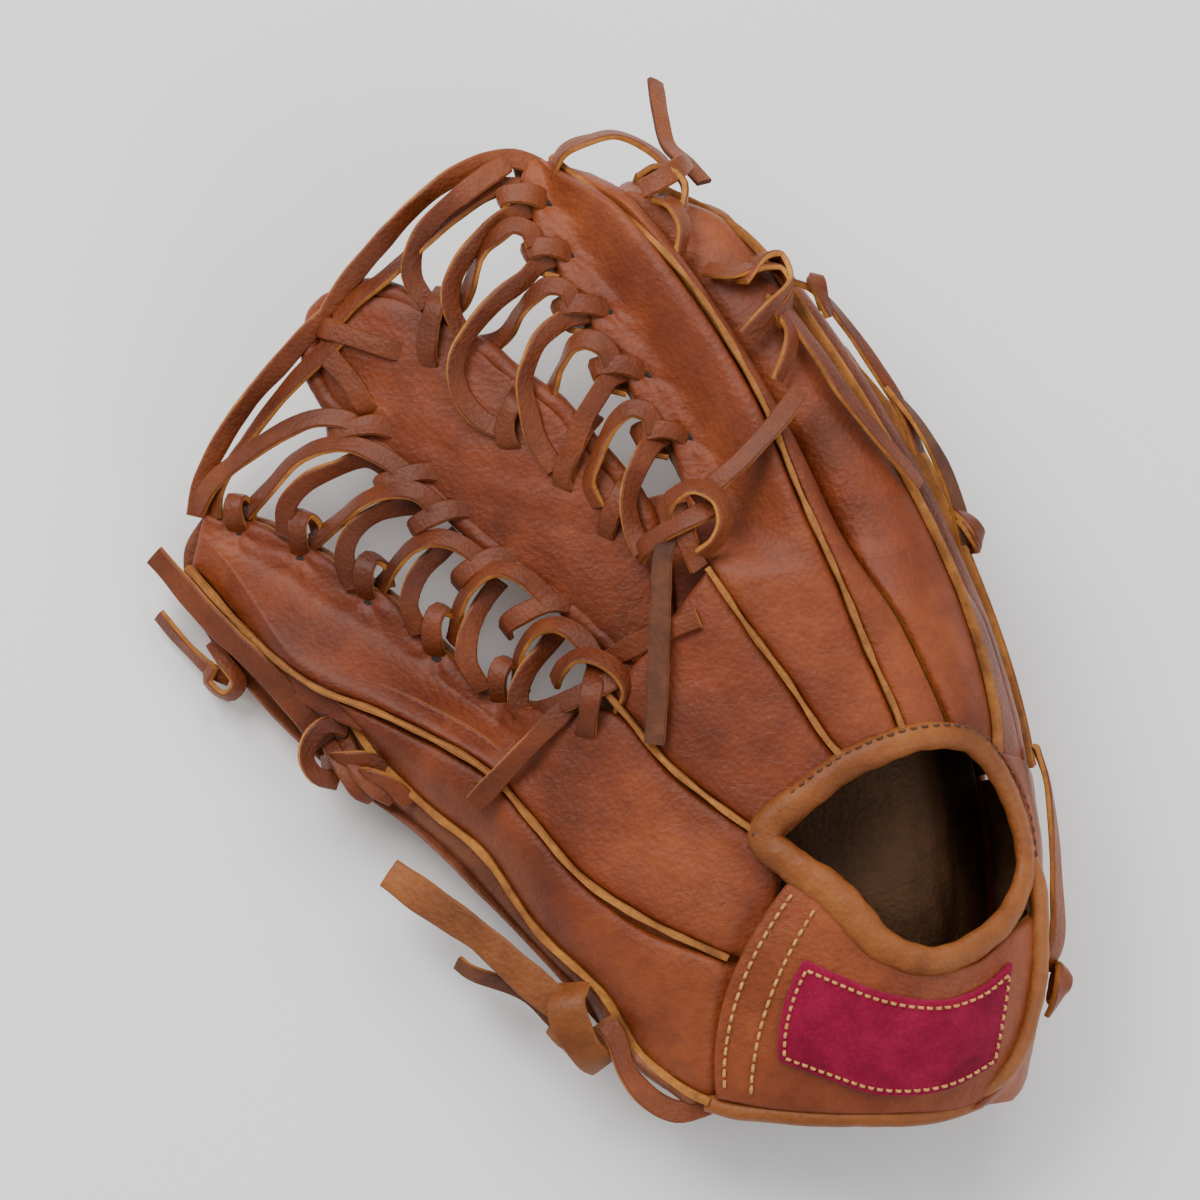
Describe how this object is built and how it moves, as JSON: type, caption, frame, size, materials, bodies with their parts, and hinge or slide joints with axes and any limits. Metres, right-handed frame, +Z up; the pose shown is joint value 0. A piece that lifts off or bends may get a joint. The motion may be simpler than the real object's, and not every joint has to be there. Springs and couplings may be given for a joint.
{
  "type": "baseball glove",
  "caption": "Leather fielding glove with separate finger stalls, a laced tongue web, a thumb that folds towards the palm, a wrist opening and a strap with a suede patch.",
  "frame": {"origin": "middle of the bounding box, on the surface that the glove lies on palm down", "axes": "+Y towards the fingertips, the glove's longest extent; +Z up, out of the back of the hand; the thumb is at -X"},
  "size_m": [0.2628, 0.3068, 0.1022],
  "materials": {
    "shell_leather": "smooth oiled brown leather, slightly worn",
    "palm_leather": "smooth oiled brown leather",
    "lining_leather": "soft golden-brown lining leather",
    "felt": "pressed wool felt",
    "raw_edge_leather": "folded leather welt with a raw golden edge",
    "binding_leather": "soft rolled tan leather",
    "rawhide_lace": "brown-faced rawhide lace with golden edges",
    "patch_suede": "crimson suede"
  },
  "bodies": {
    "hand": {"fingertip_lace": "rawhide_lace", "fingertip_lace_end": "rawhide_lace", "hand_back_thumb_side": "shell_leather", "heel_back_little_side": "shell_leather", "heel_back_thumb_side": "shell_leather", "heel_binding": "binding_leather", "heel_pad_little_side": "felt", "index_back_outer": "shell_leather", "index_back_web_side": "shell_leather", "index_base_knot": "rawhide_lace", "index_base_lace": "rawhide_lace", "index_web_lace": "rawhide_lace", "index_welt": "raw_edge_leather", "knuckle_back": "shell_leather", "knuckle_welt": "raw_edge_leather", "little_back_inner": "shell_leather", "little_back_outer": "shell_leather", "little_finger_loop": "lining_leather", "little_finger_stiffener": "felt", "little_lace": "rawhide_lace", "little_welt": "raw_edge_leather", "middle_back_inner": "shell_leather", "middle_back_outer": "shell_leather", "middle_lace_end": "rawhide_lace", "middle_welt": "raw_edge_leather", "opening_binding": "binding_leather", "palm_lining": "lining_leather", "palm_shell": "palm_leather", "ring_back_inner": "shell_leather", "ring_back_outer": "shell_leather", "ring_welt": "raw_edge_leather", "strap_lace_end": "rawhide_lace", "strap_patch": "patch_suede", "top_lace_index": "rawhide_lace", "top_lace_index_inner": "rawhide_lace", "web_base_lace": "rawhide_lace", "wrist_strap": "shell_leather", "wrist_strap_lining": "lining_leather"},
    "thumb": {"thumb_back_web_side": "shell_leather", "thumb_back_outer": "shell_leather", "thumb_back_welt": "raw_edge_leather", "thumb_palm_shell": "palm_leather", "thumb_lining": "lining_leather", "heel_pad_thumb_side": "felt", "thumb_stiffener": "felt", "thumb_loop": "lining_leather", "thumb_base_knot": "rawhide_lace", "thumb_base_lace_end": "rawhide_lace", "thumb_edge_lace_end": "rawhide_lace", "thumb_edge_knot": "rawhide_lace", "wrist_lace_end": "rawhide_lace", "wrist_lace_knot": "rawhide_lace", "thumb_web_lace": "rawhide_lace", "top_lace_thumb": "rawhide_lace", "top_lace_thumb_inner": "rawhide_lace"},
    "web": {"web_tongue_back": "shell_leather", "web_tongue_palm": "palm_leather", "web_binding": "binding_leather", "web_tip_strip_upper": "rawhide_lace", "web_tip_strip_lower": "rawhide_lace"}
  },
  "joints": [
    {"name": "thumb_hinge", "type": "hinge", "parent": "hand", "child": "thumb", "pos_m": [0.03697, -0.12574, 0.01168], "axis": [0.2549, -0.942, -0.2182], "range_deg": [0, 30], "deforming": ["thumb_web_lace", "top_lace_thumb", "top_lace_thumb_inner"]},
    {"name": "web_hinge", "type": "hinge", "parent": "hand", "child": "web", "pos_m": [0.03697, -0.12574, 0.01168], "axis": [0.2549, -0.942, -0.2182], "range_deg": [0, 15], "deforming": ["index_web_lace", "top_lace_index", "top_lace_index_inner"]}
  ],
  "couplings": [
    {"joint": "web_hinge", "follows": "thumb_hinge", "ratio": 0.5}
  ]
}
